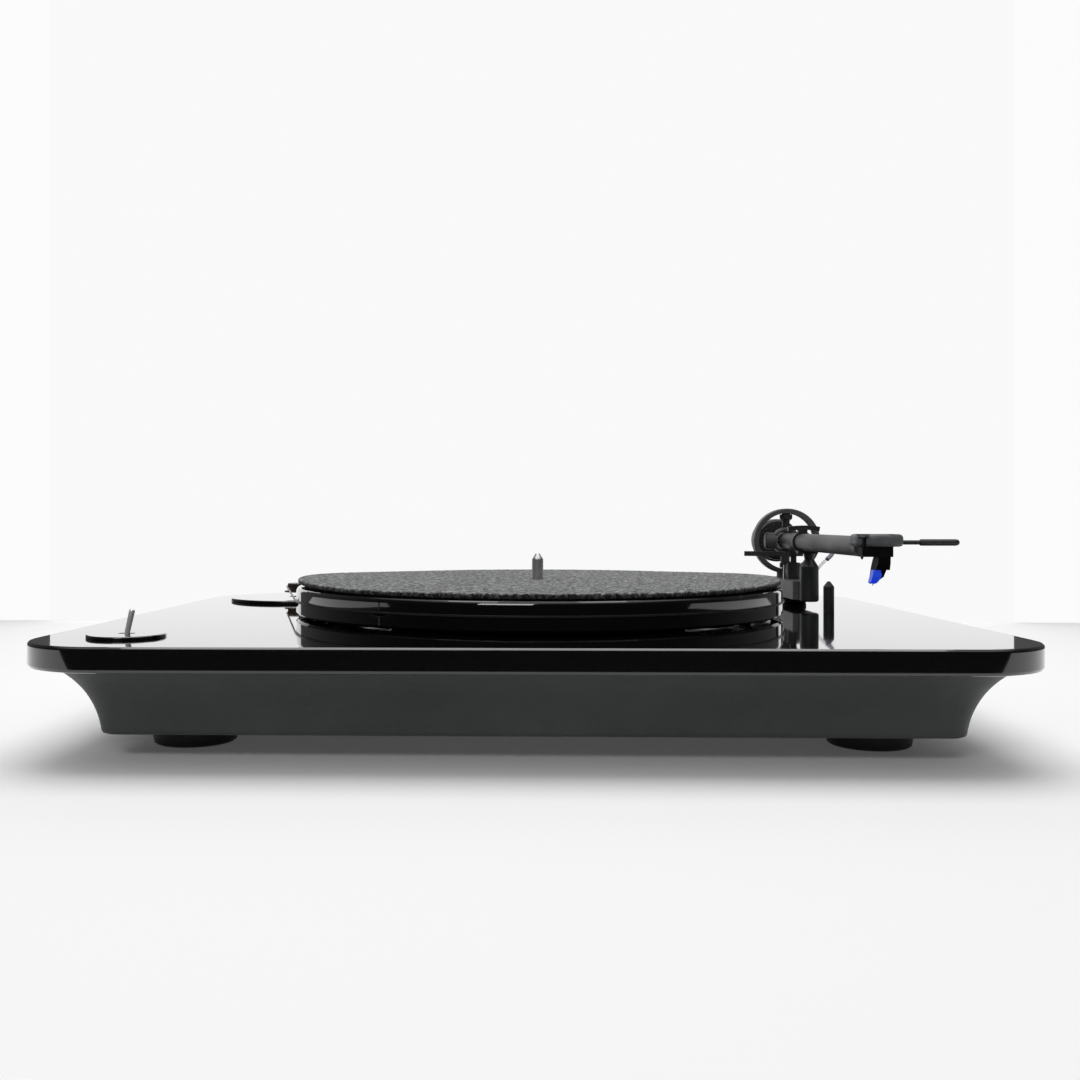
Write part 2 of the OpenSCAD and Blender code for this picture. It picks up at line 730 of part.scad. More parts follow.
// Pointed screws, above and below, that the yoke turns on
module yaw_pivot_screws() {
    cap_z = 16.2;
    cap_h = 3.2;
    color(satin_black) at_pivot() for (s = [0, 1]) mirror([0, 0, s]) turned([
        [0, 8.6], [pin_r, 8.6], [pin_r, yoke_r + 0.6], [2.7, yoke_r + 0.6], [2.7, 14.6], [4.5, cap_z],
        [4.5, cap_z + cap_h], [3, cap_z + cap_h], [3, ring_r - 1 - s * 0.2], [0, ring_r - 1 - s * 0.2]
    ]);
}

// Inner gimbal: turns about the vertical axis and carries the tube on two side pins
module bearing_yoke() {
    color(charcoal) at_pivot() difference() {
        union() {
            turned_y([
                [0, -yoke_half], [yoke_r - 1, -yoke_half], [yoke_r, -yoke_half + 1],
                [yoke_r, yoke_half - 1], [yoke_r - 1, yoke_half], [0, yoke_half]
            ]);
            for (s = [0, 1]) mirror([0, 0, s]) cylinder(r = 3.6, h = yoke_r + 0.2);
            // cross barrel that holds the side pins
            rotate([0, 90, 0]) turned([
                [0, -15.2], [4.6, -15.2], [5.7, -14.6], [6.1, -13.4],
                [6.1, 13.4], [5.7, 14.6], [4.6, 15.2], [0, 15.2]
            ]);
        }
        rod_y(yoke_bore, -8, 8);
        for (s = [0, 1]) mirror([0, 0, s]) cylinder(r = pin_r + run_gap, h = 20);
        rotate([0, 90, 0]) translate([0, 0, -yoke_r - 0.6])
            cylinder(r = pin_r + seat_gap, h = 2 * yoke_r + 1.2);
    }
}

module pitch_pivot_pins() {
    color(steel) at_pivot() for (s = [0, 1]) mirror([s, 0, 0]) rotate([0, 90, 0])
        translate([0, 0, 3.2]) cylinder(r = pin_r, h = yoke_r - 2.8);
}

module arm_tube() {
    color([0.33, 0.34, 0.34]) at_pivot() difference() {
        turned_y([
            [0, -tube_rear], [tube_rear_r, -tube_rear], [tube_rear_r, 20],
            [tube_front_r, tube_front], [0, tube_front]
        ]);
        turned_y([
            [0, -tube_rear - 1], [tube_rear_r - tube_wall, -tube_rear - 1], [tube_rear_r - tube_wall, 20],
            [tube_front_r - tube_wall, tube_front + 1], [0, tube_front + 1]
        ]);
        rotate([0, 90, 0]) translate([0, 0, -20]) cylinder(r = 1.8, h = 40);
    }
}

// Plug inside the tube that the side pins run in
module pivot_block() {
    color([0.6, 0.5, 0.3]) at_pivot() difference() {
        rod_y(tube_rear_r - tube_wall - seat_gap, -7, 7);
        for (s = [0, 1]) mirror([s, 0, 0]) rotate([0, 90, 0]) translate([0, 0, 3])
            cylinder(r = pin_r + run_gap, h = 10);
        translate([0, 0, 2.6]) rod_y(1.2, -8, 8);
    }
}

// Strap round the tube with a cross bar on top
module arm_collar() {
    s = 57;
    color(satin_black) at_pivot() translate([0, -s, 0]) {
        difference() {
            union() {
                rod_y(7.1, -2.4, 2.4);
                translate([-3, -2.4, 5]) cube([6, 4.8, 4.4]);
            }
            rod_y(tube_rear_r - 0.02, -3, 3);
        }
        translate([0.8, 0, -50.2]) rotate([90, 0, 0]) rotate([0, 0, 80]) rotate_extrude(angle = 20, $fn = 96)
            translate([60, 0]) square([3, 4], center = true);
    }
}

shell_left = -9.5;
shell_right = 14.6;
shell_low = 0.4;
shell_t = 6.4;
shell_top = shell_low + shell_t;
shell_front = arm_length + 11.5;
shell_rear = arm_length - 17.5;
cartridge_x = 0.3;
fixing_pitch = 12.7;
fixing_s = arm_length + 4;
counterbore = 2.4;

// Slot along the arm, for moving the cartridge back and forth
module shell_slot(r, z0, z1) {
    reach = 4;
    translate([0, -fixing_s, z0]) {
        translate([-r, -reach, 0]) cube([2 * r, 2 * reach, z1 - z0]);
        for (end = [-1, 1]) translate([0, end * reach, 0]) cylinder(r = r, h = z1 - z0);
    }
}

module headshell() {
    plug_r = tube_front_r - tube_wall - 0.05;
    edge = [
        [1.6, shell_low], [0.5, shell_low + 0.45], [0, shell_low + 1.6], [0, shell_top - 2],
        [0.28, shell_top - 1], [1, shell_top - 0.28], [2, shell_top]
    ];
    color(satin_black) at_pivot() difference() {
        union() {
            translate([(shell_left + shell_right) / 2, -(shell_front + shell_rear) / 2, 0])
                edged_slab((shell_right - shell_left) / 2, (shell_front - shell_rear) / 2, 10, edge);
            turned_y([
                [0, tube_front - 9], [plug_r, tube_front - 9], [plug_r, tube_front + 0.02],
                [tube_front_r, tube_front + 0.02], [tube_front_r, shell_rear + 1],
                [tube_front_r - 2, shell_rear + 4], [0, shell_rear + 4]
            ]);
        }
        for (side = [-0.5, 0.5]) translate([cartridge_x + side * fixing_pitch, 0, 0]) {
            shell_slot(1.35, shell_low - 2, shell_top + 1);
            shell_slot(2.6, shell_top - counterbore, shell_top + 1);
        }
    }
}

module finger_lift() {
    color(satin_black) at_pivot() translate([shell_right - 0.3, -(arm_length - 1), shell_low + 2.1])
        rotate([0, 90, 0]) turned([
            [0, 0.32], [1.15, 0.32], [1.15, 9.4], [1.72, 10.2], [1.72, 27.8], [1.4, 29], [0.8, 29.5], [0, 29.6]
        ], 32);
}

// Keeps what the side view and the front view have in common
module side_and_front(side, front) {
    intersection() {
        translate([-20, 0, 0]) rotate([90, 0, 90]) linear_extrude(40) polygon(side);
        translate([0, -arm_length + 20, 0]) rotate([90, 0, 0]) linear_extrude(40) polygon(front);
    }
}

module cartridge_body() {
    block_front = arm_length + 8.5;
    block_top = shell_low - 0.02;
    color([0.04, 0.04, 0.045]) at_pivot() {
        difference() {
            union() {
                translate([-7.4, -block_front, -4.8]) cube([15.4, 9.5, 4.8 + block_top]);
                translate([-4.2, -block_front + 9.3, -4.8]) cube([9.2, 7.8, 4.8 + block_top]);
            }
            for (side = [-0.5, 0.5]) translate([cartridge_x + side * fixing_pitch, -fixing_s, -6])
                cylinder(r = 1.25 + seat_gap, h = 8);
        }
        side_and_front([
            [-238, -4.6], [-236.4, -8.2], [-234, -11.6], [-228.15, -11.6], [-226.45, -16.8],
            [-224.4, -16.4], [-224, -11], [-225.4, -7], [-227, -4.6]
        ], [
            [1.3, -4.6], [0.5, -11.6], [-0.4, -16.9], [4.6, -16.9], [6.4, -15.5], [7.6, -11.6], [6.9, -4.6]
        ]);
        // tag at the rear corner, and the four terminal pins
        translate([-5.3, -229.6, -6.3]) cylinder(r1 = 0.4, r2 = 0.9, h = 1.6);
        for (x = [-3, 3.8], z = [-3.6, -1.4]) translate([x, 0, z]) rod_y(0.5, -221.5, -217.2);
    }
}

module cartridge_screws() {
    color(steel) at_pivot() for (side = [-0.5, 0.5])
        translate([cartridge_x + side * fixing_pitch, -fixing_s, shell_top - counterbore])
            machine_screw(1.25, 8.4, 2.3, 1.6);
}

module stylus_holder() {
    color([0.1, 0.22, 0.95]) at_pivot() difference() {
        side_and_front([
            [-233, -11.65], [-232.6, -15], [-231.3, -18.3], [-229.5, -19], [-227, -18.8],
            [-225.9, -18.3], [-226.5, -16.85], [-228.2, -11.65]
        ], [
            [-0.2, -11.65], [-0.8, -15], [-1.3, -18], [-1.1, -19], [0.8, -19], [1.9, -18.4],
            [3.4, -16.1], [3.9, -14.4], [3.3, -11.65]
        ]);
        // notch that the cantilever comes out of
        translate([-0.8, -234, -20]) cube([1.6, 6.4, 2.7]);
    }
}

// Cantilever that slopes forward and down, with the tip across its end
module stylus() {
    color(steel) at_pivot() translate([0, -227.75, -17.85]) rotate([20, 0, 0]) {
        rod_y(0.28, -3, 0);
        translate([0, -2.8, -1.2]) cylinder(r1 = 0.08, r2 = 0.25, h = 1);
    }
}

weight_front = 35;
weight_rear = 56;
stub_r = 5.15;
stub_end = 67;
recess_r = 11.5;
recess_depth = 8;
dial_front = 31.5;

module rear_stub() {
    color(steel) at_pivot() turned_y([
        [0, -stub_end], [5.6, -stub_end], [5.6, -stub_end + 2.4], [stub_r, -stub_end + 2.8],
        [stub_r, -8], [0, -8]
    ]);
}

module counterweight() {
    color([0.12, 0.12, 0.125]) at_pivot() difference() {
        turned_y([
            [0, -weight_rear], [weight_r - 1.2, -weight_rear], [weight_r, -weight_rear + 1.2],
            [weight_r, -weight_front - 0.8], [weight_r - 0.8, -weight_front],
            [9, -weight_front], [9, -dial_front], [0, -dial_front]
        ]);
        rod_y(stub_r + run_gap, 20, 70);
        rod_y(recess_r, weight_rear - recess_depth, weight_rear + 1);
    }
}

// Turnable scale ring on the weight's front neck, marked with plain dots
module dial_ring() {
    mark_step = 15;
    color([0.07, 0.07, 0.075]) at_pivot() difference() {
        turned_y([
            [9 + run_gap, -weight_front + 0.1], [14.6, -weight_front + 0.1], [15.1, -weight_front + 0.6],
            [14.6, -dial_front], [9 + run_gap, -dial_front]
        ]);
        for (a = [0:mark_step:359]) rotate([0, a, 0]) translate([0, dial_front, 12.4])
            rod_y(0.45, -1, 0.3);
    }
}

// ---- arm leads ----

loop_route = [
    [194.1, 100, top_z + 12], [197, 100, top_z + 12.4], [200, 101, top_z + 15], [203, 102.5, top_z + 19.5],
    [206, 104, top_z + 24.4], [210, 107.5, top_z + 28], [214, 111, top_z + 30.5],
    [217.5, 114, top_z + 33], [219.5, 115.6, top_z + 36], [219.5, 116.2, top_z + 39],
    [217, 115.8, top_z + 41.5], [212, 114, top_z + 42.6], [207, 112, top_z + 42.4], [202, 110, top_z + 41.8]
];
wire_r = 0.45;
wire_gap = 0.62;
sleeve_first = 6;

function part_of(route, a, b) = [for (i = [a:b]) route[i]];
wire_end = loop_route[sleeve_first - 1] * 0.4 + loop_route[sleeve_first] * 0.6;

module arm_lead_wires() {
    color([0.85, 0.85, 0.87]) for (s = [-1, 1]) translate([0, s * wire_gap, s * wire_gap])
        swept(concat(part_of(loop_route, 0, sleeve_first - 1), [wire_end]), wire_r);
}

module arm_lead_sleeve() {
    color([0.35, 0.33, 0.42]) swept(part_of(loop_route, sleeve_first, len(loop_route) - 1), 1.6);
}

top_board();
base_board();
bottom_cover();
foot_front_left();
foot_front_right();
foot_rear_left();
foot_rear_right();
base_screws();
bearing_housing();
bearing_bush();
bearing_ball();
bearing_screws();
platter();
spindle();
mat();
motor_body();
motor_screws();
motor_cover();
motor_shaft();
pulley();
belt();
switch_plate();
switch_body();
toggle_lever();
control_board();
connector_panel();
dc_jack();
rca_socket_left();
rca_socket_right();
ground_terminal();
inner_leads();
arm_base_boss();
arm_base_nut();
arm_base_beam();
storage_pin();
rest_post();
rest_clip();
lift_cylinder();
lift_guide_pin();
lift_platform();
lift_lever();
gimbal_ring();
yaw_pivot_screws();
bearing_yoke();
pitch_pivot_pins();
arm_tube();
pivot_block();
arm_collar();
headshell();
finger_lift();
cartridge_body();
cartridge_screws();
stylus_holder();
stylus();
rear_stub();
counterweight();
dial_ring();
arm_lead_wires();
arm_lead_sleeve();
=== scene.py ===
import json
import math

import bpy
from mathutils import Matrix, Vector, noise


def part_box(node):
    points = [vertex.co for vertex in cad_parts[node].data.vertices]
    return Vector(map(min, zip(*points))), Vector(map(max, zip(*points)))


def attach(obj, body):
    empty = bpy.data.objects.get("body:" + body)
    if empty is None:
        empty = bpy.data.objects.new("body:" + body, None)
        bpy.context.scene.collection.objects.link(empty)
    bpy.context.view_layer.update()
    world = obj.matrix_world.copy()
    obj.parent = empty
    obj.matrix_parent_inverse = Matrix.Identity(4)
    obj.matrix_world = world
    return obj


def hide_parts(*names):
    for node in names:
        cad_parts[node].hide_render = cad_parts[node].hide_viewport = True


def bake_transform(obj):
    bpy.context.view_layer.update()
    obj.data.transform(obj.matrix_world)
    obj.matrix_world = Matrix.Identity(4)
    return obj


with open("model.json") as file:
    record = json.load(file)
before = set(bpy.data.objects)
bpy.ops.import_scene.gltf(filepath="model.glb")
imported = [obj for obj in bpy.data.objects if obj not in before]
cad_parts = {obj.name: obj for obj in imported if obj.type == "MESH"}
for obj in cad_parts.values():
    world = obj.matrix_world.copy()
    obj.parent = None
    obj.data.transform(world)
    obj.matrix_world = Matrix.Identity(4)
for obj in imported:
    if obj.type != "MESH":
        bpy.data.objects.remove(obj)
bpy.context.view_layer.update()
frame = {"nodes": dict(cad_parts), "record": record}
NODES = frame["nodes"]
MM = 0.001

# ---------------------------------------------------------------- places read from the frame

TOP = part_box("top_board")[1].z
MAT_LOW, MAT_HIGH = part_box("mat")


# ---------------------------------------------------------------- camera

def make_camera():
    height_over_top = 0.0546
    distance_to_centre = 0.6664
    turn_left = 0.026
    cam_data = bpy.data.cameras.new("camera")
    cam_data.sensor_width = 36.0
    cam_data.lens = 35.73
    cam_data.shift_x = 0.0353
    cam_data.shift_y = -0.0132
    cam_data.clip_start = 0.01
    cam = bpy.data.objects.new("camera", cam_data)
    bpy.context.scene.collection.objects.link(cam)
    cam.location = (0, -distance_to_centre, TOP + height_over_top)
    cam.rotation_euler = (math.pi / 2, 0, turn_left)
    bpy.context.scene.camera = cam


make_camera()


# ---------------------------------------------------------------- node helpers

class Tree:
    """A material's node tree, with short calls to add and join nodes."""

    def __init__(self, name):
        self.material = bpy.data.materials.new(name)
        self.material.use_nodes = True
        self.nodes = self.material.node_tree.nodes
        self.links = self.material.node_tree.links
        self.shader = self.nodes["Principled BSDF"]
        self.coords = self.nodes.new("ShaderNodeTexCoord").outputs["Object"]

    def set(self, **values):
        for key, value in values.items():
            self.shader.inputs[key.replace("_", " ")].default_value = value

    def join(self, output, socket):
        self.links.new(output, self.shader.inputs[socket])

    def scaled(self, factors):
        node = self.nodes.new("ShaderNodeMapping")
        node.inputs["Scale"].default_value = factors
        self.links.new(self.coords, node.inputs["Vector"])
        return node.outputs["Vector"]

    def noise(self, scale, detail=3.0, rough=0.55, vector=None, distort=0.0):
        node = self.nodes.new("ShaderNodeTexNoise")
        node.inputs["Scale"].default_value = scale
        node.inputs["Detail"].default_value = detail
        node.inputs["Roughness"].default_value = rough
        node.inputs["Distortion"].default_value = distort
        self.links.new(vector or self.coords, node.inputs["Vector"])
        return node.outputs["Fac"]

    def spread(self, value, low, high, to_low, to_high):
        node = self.nodes.new("ShaderNodeMapRange")
        for key, number in (("From Min", low), ("From Max", high), ("To Min", to_low), ("To Max", to_high)):
            node.inputs[key].default_value = number
        self.links.new(value, node.inputs["Value"])
        return node.outputs["Result"]

    def ramp(self, value, stops):
        node = self.nodes.new("ShaderNodeValToRGB")
        ramp = node.color_ramp
        while len(ramp.elements) < len(stops):
            ramp.elements.new(0.5)
        for element, (place, colour) in zip(ramp.elements, stops):
            element.position = place
            element.color = (*colour, 1.0)
        self.links.new(value, node.inputs["Fac"])
        return node.outputs["Color"]

    def math(self, kind, a, b):
        node = self.nodes.new("ShaderNodeMath")
        node.operation = kind
        for socket, value in zip(node.inputs, (a, b)):
            if isinstance(value, (int, float)):
                socket.default_value = value
            else:
                self.links.new(value, socket)
        return node.outputs["Value"]

    def bump(self, height, strength, distance, before=None):
        node = self.nodes.new("ShaderNodeBump")
        node.inputs["Strength"].default_value = strength
        node.inputs["Distance"].default_value = distance
        self.links.new(height, node.inputs["Height"])
        if before is not None:
            self.links.new(before, node.inputs["Normal"])
        return node.outputs["Normal"]

    def edge_soften(self, radius):
        node = self.nodes.new("ShaderNodeBevel")
        node.samples = 4
        node.inputs["Radius"].default_value = radius
        return node.outputs["Normal"]


def tint(colour, factor):
    return tuple(min(1.0, c * factor) for c in colour)


def make_surface(name, colour, rough, metallic=0.0, coat=0.0, grain=None, mottle=0.15, mottle_scale=60.0,
                 rough_spread=0.08, edge=0.0002, brushed=None, specular=0.5):
    """A hard surface: slow colour and gloss variation, an optional fine grain or brushing, softened edges."""
    t = Tree(name)
    t.set(Metallic=metallic, Coat_Weight=coat, Specular_IOR_Level=specular)
    slow = t.noise(mottle_scale, detail=4.0)
    t.join(t.ramp(slow, [(0.3, tint(colour, 1 - mottle)), (0.7, tint(colour, 1 + mottle))]), "Base Color")
    smear = t.noise(mottle_scale * 0.6, detail=6.0, rough=0.65, distort=0.4)
    t.join(t.spread(smear, 0.3, 0.7, max(0.02, rough - rough_spread), rough + rough_spread), "Roughness")
    normal = t.edge_soften(edge) if edge else None
    if grain:
        scale, strength, distance = grain
        normal = t.bump(t.noise(scale, detail=2.0), strength, distance, normal)
    if brushed:
        stretch, strength = brushed
        normal = t.bump(t.noise(1.0, detail=2.0, vector=t.scaled(stretch)), strength, 0.00005, normal)
    if normal is not None:
        t.join(normal, "Normal")
    return t.material


# ---------------------------------------------------------------- materials

def make_lacquer():
    """Gloss black lacquer: a clear coat over near-black, with faint haze, wipe marks and a little dust."""
    t = Tree("black_lacquer")
    t.set(Base_Color=(0.004, 0.004, 0.0045, 1.0), Coat_Weight=1.0, Coat_IOR=1.5, IOR=1.5)
    haze = t.noise(9.0, detail=5.0, rough=0.6, distort=0.8)
    wipe = t.noise(1.0, detail=3.0, vector=t.scaled((14.0, 90.0, 30.0)))
    both = t.math("MULTIPLY", haze, wipe)
    t.join(t.spread(both, 0.15, 0.45, 0.035, 0.075), "Roughness")
    t.join(t.spread(both, 0.15, 0.45, 0.02, 0.045), "Coat Roughness")
    dust = t.ramp(t.noise(2600.0, detail=0.0), [(0.8, (0.004, 0.004, 0.0045)), (0.86, (0.03, 0.03, 0.03))])
    t.join(dust, "Base Color")
    normal = t.bump(t.noise(55.0, detail=1.0), 0.02, 0.0002, t.edge_soften(0.0006))
    t.join(normal, "Normal")
    return t.material


def make_felt():
    """Pressed wool felt: dark and light grey fibres, mottled, with soft lumps and painted shade on the side
    edge.
    """
    t = Tree("mat_felt")
    t.set(Sheen_Weight=0.1, Sheen_Roughness=0.6, Specular_IOR_Level=0.08, Roughness=0.97)
    blotch = t.noise(400.0, detail=4.0, rough=0.62, distort=0.7)
    speck = t.noise(1000.0, detail=3.0, rough=0.7, distort=0.4)
    fibre = t.noise(1.0, detail=4.0, vector=t.scaled((700.0, 2600.0, 900.0)), distort=1.5)
    fibre_across = t.noise(1.0, detail=4.0, vector=t.scaled((2400.0, 650.0, 900.0)), distort=1.5)
    strands = t.math("MULTIPLY", fibre, fibre_across)
    mixed = t.math("ADD", t.math("MULTIPLY", blotch, 0.6),
                   t.math("ADD", t.math("MULTIPLY", speck, 0.4), t.math("MULTIPLY", strands, 0.15)))
    fibres = t.ramp(mixed, [
        (0.44, (0.02, 0.021, 0.021)), (0.51, (0.085, 0.088, 0.087)),
        (0.56, (0.22, 0.225, 0.223)), (0.64, (0.55, 0.56, 0.555)),
    ])
    # Painted shade: the fibre colour is scaled down where the surface turns from facing up, darkening the
    # side edge.
    facing = t.nodes.new("ShaderNodeSeparateXYZ")
    t.links.new(t.nodes.new("ShaderNodeNewGeometry").outputs["Normal"], facing.inputs[0])
    painted_side_shade = t.nodes.new("ShaderNodeVectorMath")
    painted_side_shade.operation = "SCALE"
    t.links.new(fibres, painted_side_shade.inputs[0])
    t.links.new(t.spread(facing.outputs["Z"], 0.3, 0.95, 0.3, 1.0), painted_side_shade.inputs["Scale"])
    t.join(painted_side_shade.outputs["Vector"], "Base Color")
    lumps = t.bump(blotch, 0.6, 0.0008)
    t.join(t.bump(strands, 0.7, 0.0005, lumps), "Normal")
    return t.material


def make_rubber(name, colour, rough):
    return make_surface(name, colour, rough, grain=(2400.0, 0.25, 0.0002), mottle=0.25, mottle_scale=120.0)


def make_base_board():
    """Sprayed charcoal finish over board: fine orange-peel grain, softened edges."""
    t = Tree("charcoal_board")
    slow = t.noise(22.0, detail=5.0)
    t.join(t.ramp(slow, [(0.3, (0.043, 0.046, 0.046)), (0.7, (0.056, 0.06, 0.06))]), "Base Color")
    t.join(t.spread(t.noise(40.0, detail=4.0), 0.3, 0.7, 0.48, 0.6), "Roughness")
    normal = t.bump(t.noise(1500.0, detail=2.0), 0.22, 0.00025, t.edge_soften(0.0005))
    t.join(normal, "Normal")
    return t.material


def make_circuit_board():
    """Green solder mask with faint tracks."""
    t = Tree("circuit_board")
    t.set(Roughness=0.35)
    tracks = t.noise(1.0, detail=0.0, vector=t.scaled((700.0, 60.0, 60.0)))
    t.join(t.ramp(tracks, [(0.47, (0.01, 0.09, 0.03)), (0.5, (0.03, 0.2, 0.07))]), "Base Color")
    return t.material


def make_blue():
    """Blue moulding with a painted glow: a faint blue emission brightens it as if light passed through."""
    t = Tree("stylus_blue")
    # Painted glow: the blue emission colour and strength make the part shine though it is no lamp.
    t.set(Coat_Weight=0.1, Roughness=0.36, Specular_IOR_Level=0.3, Emission_Color=(0.015, 0.07, 1.0, 1.0),
          Emission_Strength=0.32)
    t.join(t.ramp(t.noise(60.0), [(0.3, (0.02, 0.1, 0.9)), (0.7, (0.025, 0.12, 1.0))]), "Base Color")
    t.join(t.edge_soften(0.0002), "Normal")
    return t.material


MATERIALS = {
    "black_lacquer": make_lacquer(),
    "charcoal_board": make_base_board(),
    "cover_plate": make_surface("cover_plate", (0.02, 0.02, 0.021), 0.55, grain=(1800.0, 0.3, 0.0002)),
    "foot_rubber": make_rubber("foot_rubber", (0.012, 0.012, 0.013), 0.5),
    "screw_steel": make_surface("screw_steel", (0.55, 0.55, 0.55), 0.28, 1.0, grain=(3000.0, 0.1, 0.0001)),
    "spindle_steel": make_surface("spindle_steel", (0.62, 0.62, 0.61), 0.28, 0.9,
                                  brushed=((300.0, 300.0, 5000.0), 0.9)),
    "bearing_steel": make_surface("bearing_steel", (0.5, 0.5, 0.51), 0.3, 1.0,
                                  brushed=((300.0, 300.0, 7000.0), 0.3)),
    "bush_bronze": make_surface("bush_bronze", (0.5, 0.3, 0.13), 0.35, 1.0),
    "mat_felt": make_felt(),
    "motor_metal": make_surface("motor_metal", (0.4, 0.41, 0.42), 0.35, 1.0),
    "pulley_plastic": make_surface("pulley_plastic", (0.04, 0.026, 0.02), 0.3,
                                   brushed=((200.0, 200.0, 6000.0), 0.4)),
    "belt_rubber": make_rubber("belt_rubber", (0.03, 0.028, 0.026), 0.32),
    "switch_plastic": make_surface("switch_plastic", (0.012, 0.012, 0.013), 0.4),
    "toggle_chrome": make_surface("toggle_chrome", (0.95, 0.94, 0.92), 0.2, 0.3, rough_spread=0.04),
    "circuit_board": make_circuit_board(),
    "panel_plastic": make_surface("panel_plastic", (0.014, 0.014, 0.015), 0.5, grain=(2200.0, 0.3, 0.0002)),
    "gilt_socket": make_surface("gilt_socket", (0.75, 0.55, 0.25), 0.2, 1.0),
    "lead_jacket": make_rubber("lead_jacket", (0.25, 0.02, 0.02), 0.4),
    "satin_black_metal": make_surface("satin_black_metal", (0.030, 0.032, 0.032), 0.42,
                                      grain=(2600.0, 0.25, 0.00015)),
    "beam_metal": make_surface("beam_metal", (0.098, 0.104, 0.099), 0.5, grain=(2600.0, 0.25, 0.00015),
                               specular=0.25),
    "clip_plastic": make_surface("clip_plastic", (0.026, 0.027, 0.027), 0.38, grain=(1800.0, 0.15, 0.0001)),
    "tube_satin": make_surface("tube_satin", (0.049, 0.052, 0.048), 0.5, 0.2, grain=(3000.0, 0.2, 0.0001)),
    "headshell_black": make_surface("headshell_black", (0.112, 0.119, 0.126), 0.5,
                                    grain=(2400.0, 0.35, 0.0002)),
    "pivot_brass": make_surface("pivot_brass", (0.5, 0.38, 0.18), 0.3, 1.0),
    "cartridge_black": make_surface("cartridge_black", (0.005, 0.005, 0.006), 0.6, specular=0.1),
    "stylus_blue": make_blue(),
    "stylus_steel": make_surface("stylus_steel", (0.6, 0.6, 0.62), 0.15, 1.0),
    "stub_alloy": make_surface("stub_alloy", (0.3, 0.3, 0.31), 0.35, 1.0,
                               brushed=((300.0, 5000.0, 300.0), 0.3)),
    "weight_black": make_surface("weight_black", (0.03, 0.03, 0.031), 0.36, grain=(2400.0, 0.2, 0.00015)),
    "dial_black": make_surface("dial_black", (0.018, 0.018, 0.019), 0.45),
    "wire_silver": make_surface("wire_silver", (0.8, 0.79, 0.82), 0.3),
    "sleeve_grey": make_surface("sleeve_grey", (0.3, 0.28, 0.36), 0.55, grain=(2600.0, 0.4, 0.0002)),
}


def finish_cad_nodes():
    """Every carried-over node takes the material of its slot in the record."""
    for part in frame["record"]["subparts"]:
        node = NODES[part["node"]]
        material = MATERIALS[part["material_slot"]]
        if not node.material_slots:
            node.data.materials.append(material)
        for s in node.material_slots:
            s.material = material


finish_cad_nodes()


# ---------------------------------------------------------------- mesh helpers

def add_mesh(name, vertices, faces, slot, body=None):
    mesh = bpy.data.meshes.new(name)
    mesh.from_pydata([tuple(v) for v in vertices], [], faces)
    mesh.update()
    mesh.shade_smooth()
    piece = bpy.data.objects.new(name, mesh)
    bpy.context.scene.collection.objects.link(piece)
    piece.data.materials.append(MATERIALS[slot])
    if body:
        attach(piece, body)
    return piece


def smooth_route(points, per_span=8):
    """A Catmull-Rom curve through the points."""
    p = [Vector(q) for q in points]
    p = [p[0] * 2 - p[1]] + p + [p[-1] * 2 - p[-2]]
    route = []
    for i in range(1, len(p) - 2):
        for k in range(per_span):
            t = k / per_span
            a, b, c, d = p[i - 1], p[i], p[i + 1], p[i + 2]
            route.append(0.5 * (2 * b + (c - a) * t + (2 * a - 5 * b + 4 * c - d) * t * t
                                + (3 * b - a - 3 * c + d) * t ** 3))
    route.append(p[-2])
    return route


def tube_mesh(route, radius, sides=12):
    """Vertices and faces of a closed tube along a route, with no twist."""
    vertices, faces = [], []
    side = (route[1] - route[0]).normalized().orthogonal().normalized()
    for i, point in enumerate(route):
        ahead = (route[min(i + 1, len(route) - 1)] - route[max(i - 1, 0)]).normalized()
        side = (side - ahead * side.dot(ahead)).normalized()
        other = ahead.cross(side)
        for k in range(sides):
            a = 2 * math.pi * k / sides
            vertices.append(point + radius * (math.cos(a) * side + math.sin(a) * other))
    for i in range(len(route) - 1):
        for k in range(sides):
            a, b = i * sides + k, i * sides + (k + 1) % sides
            faces.append((a, b, b + sides, a + sides))
    faces.append(tuple(range(sides))[::-1])
    faces.append(tuple(range(len(vertices) - sides, len(vertices))))
    return vertices, faces


# ---------------------------------------------------------------- felt mat

